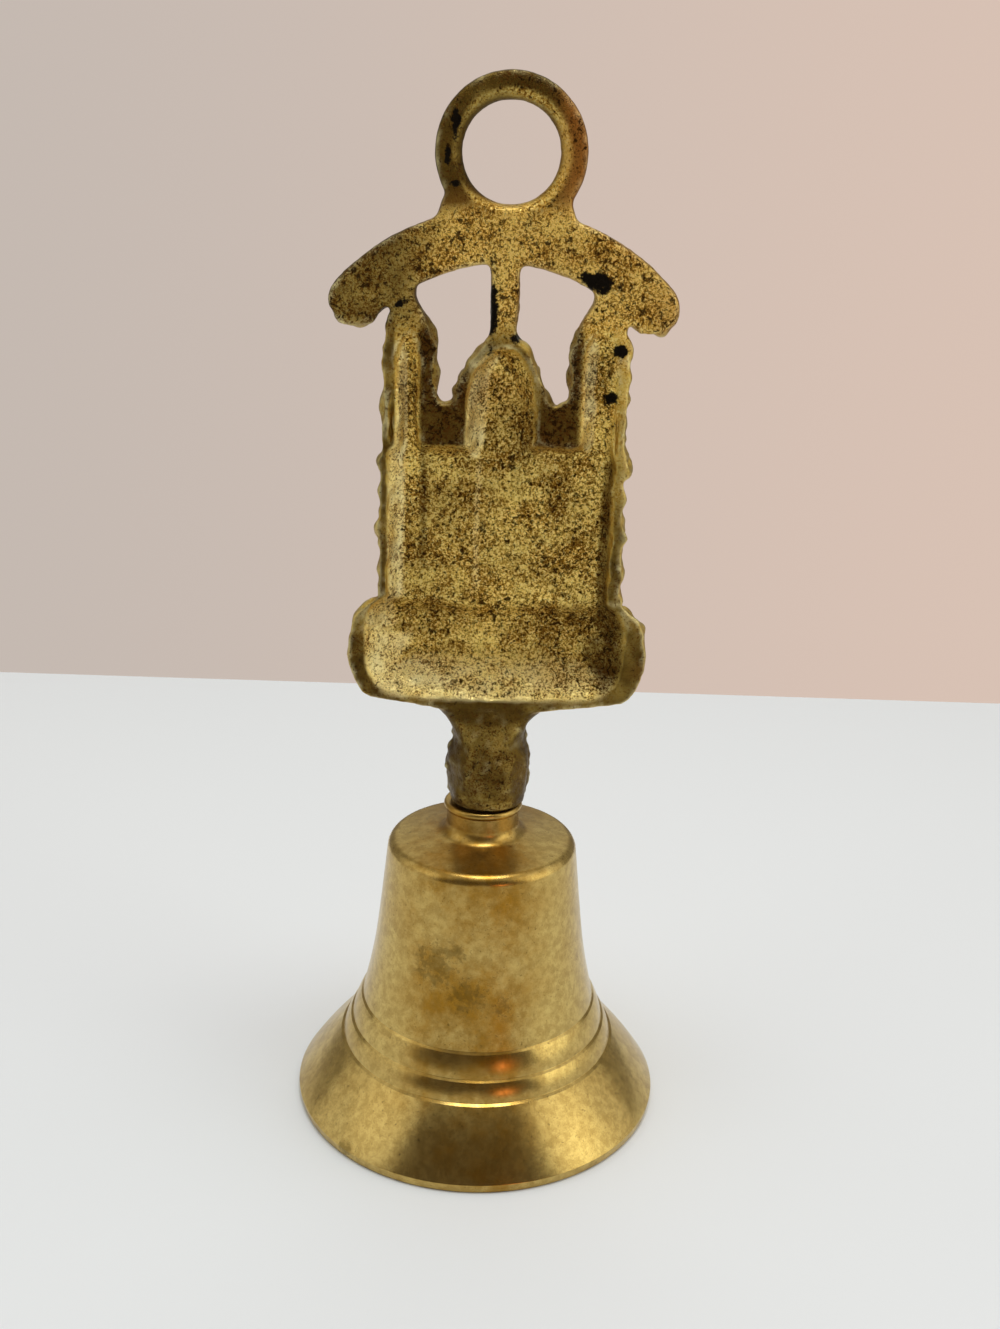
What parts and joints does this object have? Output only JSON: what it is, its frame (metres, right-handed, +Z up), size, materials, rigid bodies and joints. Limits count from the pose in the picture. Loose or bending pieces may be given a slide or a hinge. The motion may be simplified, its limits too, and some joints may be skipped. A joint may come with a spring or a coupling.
{
  "type": "hand bell",
  "caption": "Small cast-brass hand bell with a flat open-backed handle, a hanging ring on top and a clapper that swings from a wire ring inside the mouth.",
  "frame": {"origin": "on the bell's axis at the plane of the rim, where the bell stands on a table", "axes": "+Z up along the bell's axis; the handle's hollow back faces -Y and +X is to the right of someone looking at that back"},
  "size_m": [0.055, 0.055, 0.1469],
  "materials": {
    "turned_brass": "satin, tarnished",
    "cast_brass": "rough sand casting with dark pits",
    "plain_steel": "dull",
    "ball_brass": "turned, dull"
  },
  "bodies": {
    "bell": {"bell": "turned_brass", "handle": "cast_brass", "crown_washer": "plain_steel", "crown_nut": "plain_steel"},
    "clapper_ring": {"clapper_ring": "plain_steel"},
    "clapper": {"clapper_rod": "plain_steel", "clapper_ball": "ball_brass"}
  },
  "joints": [
    {"name": "ring_rock", "type": "hinge", "parent": "bell", "child": "clapper_ring", "pos_m": [0, 0, 0.0322], "axis": [1, 0, 0], "range_deg": [-6, 6]},
    {"name": "clapper_swing", "type": "hinge", "parent": "clapper_ring", "child": "clapper", "pos_m": [0, 0, 0.02869], "axis": [0, 1, 0], "range_deg": [-32, 32]}
  ]
}
